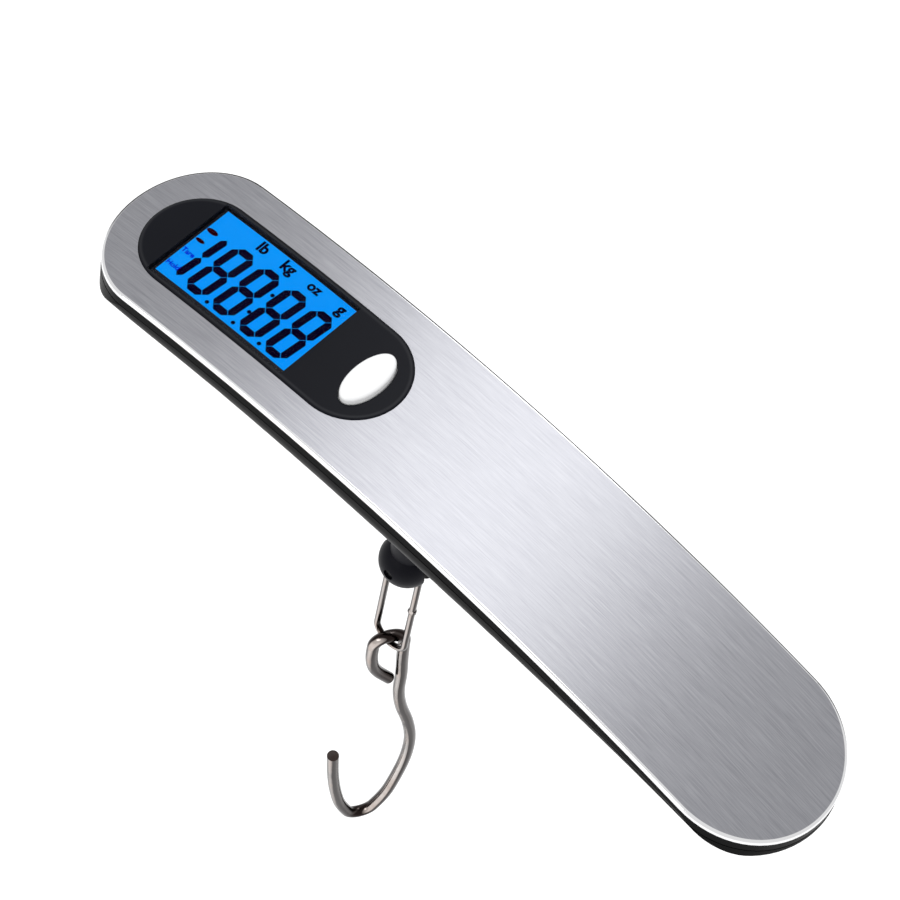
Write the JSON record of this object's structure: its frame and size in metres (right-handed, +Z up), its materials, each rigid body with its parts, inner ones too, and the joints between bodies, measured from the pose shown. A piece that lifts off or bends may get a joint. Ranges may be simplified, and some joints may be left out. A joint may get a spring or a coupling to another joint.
{
  "type": "digital luggage scale",
  "caption": "Slim arched hand-held scale with a lit display and button on its steel top; a link and wire hook hang below to carry a bag.",
  "frame": {"origin": "crown of the arched face plate, at the middle of its top surface", "axes": "+X along the case to its plain end, display towards -X; +Z up, hook hanging to -Z"},
  "size_m": [0.14, 0.0294, 0.1339],
  "materials": {
    "plate_steel": "brushed along its length, with a polished bevel",
    "black_case": "gloss black",
    "window_black": "gloss black",
    "display": "lit blue display",
    "clear_lens": "clear acrylic",
    "white_panel": "white light guide",
    "rubber_grey": "moulded rubber",
    "board_green": "glass fibre board with green mask",
    "black_resin": "black resin and plastic parts",
    "button_white": "white moulded button",
    "cell_alloy": "milled aluminium",
    "gauge_film": "amber film",
    "lead_red": "soft insulation",
    "zinc_steel": "zinc plated steel",
    "brass": "turned brass",
    "ball_black": "satin black moulding",
    "wire_nickel": "nickel plated wire",
    "coin_steel": "plated can"
  },
  "bodies": {
    "case": {"face_plate": "plate_steel", "upper_housing": "black_case", "lower_housing": "black_case", "display_window": "window_black", "display_lens": "clear_lens", "lcd_glass": "display", "backlight_panel": "white_panel", "zebra_strip": "rubber_grey", "circuit_board": "board_green", "chip_blob": "black_resin", "board_parts": "black_resin", "button_switch": "black_resin", "load_cell": "cell_alloy", "strain_gauges": "gauge_film", "gauge_leads": "lead_red", "load_cell_screws": "zinc_steel", "housing_screws": "zinc_steel", "neck_bushing": "brass", "hanger_washer": "zinc_steel", "coin_cell": "coin_steel", "battery_contact_neg": "zinc_steel", "battery_contact_pos": "zinc_steel"},
    "button": {"button_cap": "button_white"},
    "hanger": {"hanger_stud": "zinc_steel", "hanger_nut": "zinc_steel", "hanger_ball": "ball_black", "hanger_pin": "zinc_steel"},
    "link": {"link": "wire_nickel"},
    "hook": {"hook": "wire_nickel"},
    "door": {"battery_door": "black_case", "door_seal": "rubber_grey"}
  },
  "joints": [
    {"name": "button_press", "type": "slide", "parent": "case", "child": "button", "axis": [0.1239, 0, -0.9923], "range_m": [0, 0.0005], "stiffness_N_per_m": 600, "springref_m": -0.0008},
    {"name": "hanger_swivel", "type": "hinge", "parent": "case", "child": "hanger", "pos_m": [-0.0077, 0, -0.03], "axis": [0, 0, 1], "continuous": true},
    {"name": "link_swing", "type": "hinge", "parent": "hanger", "child": "link", "pos_m": [-0.0077, 0, -0.037], "axis": [0, 1, 0], "range_deg": [-30, 30]},
    {"name": "hook_swing", "type": "hinge", "parent": "link", "child": "hook", "pos_m": [-0.0077, 0, -0.06553], "axis": [1, 0, 0], "range_deg": [-40, 40]},
    {"name": "battery_door_lift", "type": "slide", "parent": "case", "child": "door", "axis": [-0.1012, 0, -0.9949], "range_m": [0, 0.012]}
  ]
}
